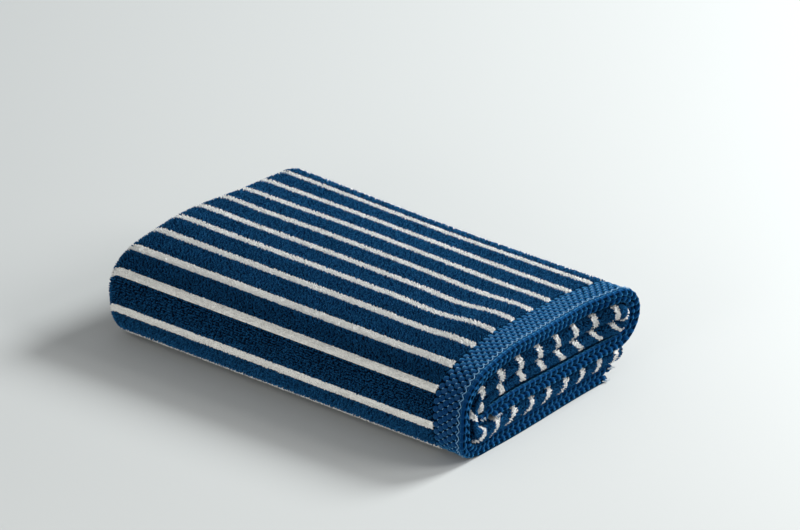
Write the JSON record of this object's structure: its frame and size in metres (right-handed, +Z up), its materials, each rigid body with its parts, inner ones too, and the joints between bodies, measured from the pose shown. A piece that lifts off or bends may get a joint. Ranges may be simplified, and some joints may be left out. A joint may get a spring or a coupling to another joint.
{
  "type": "folded towel",
  "caption": "Striped terry hand towel with flat woven hems, folded lengthwise and then wrapped in three, lying flat.",
  "frame": {"origin": "under the middle of the folded towel, on the surface that it lies on", "axes": "+X along the stripes, towards the end where the hems and folds show; +Z up; the closed front fold faces -Y"},
  "size_m": [0.2862, 0.1738, 0.0629],
  "materials": {
    "terry": "matte looped cotton pile, navy with off-white stripes"
  },
  "bodies": {
    "root": {"towel": "terry"}
  },
  "joints": []
}
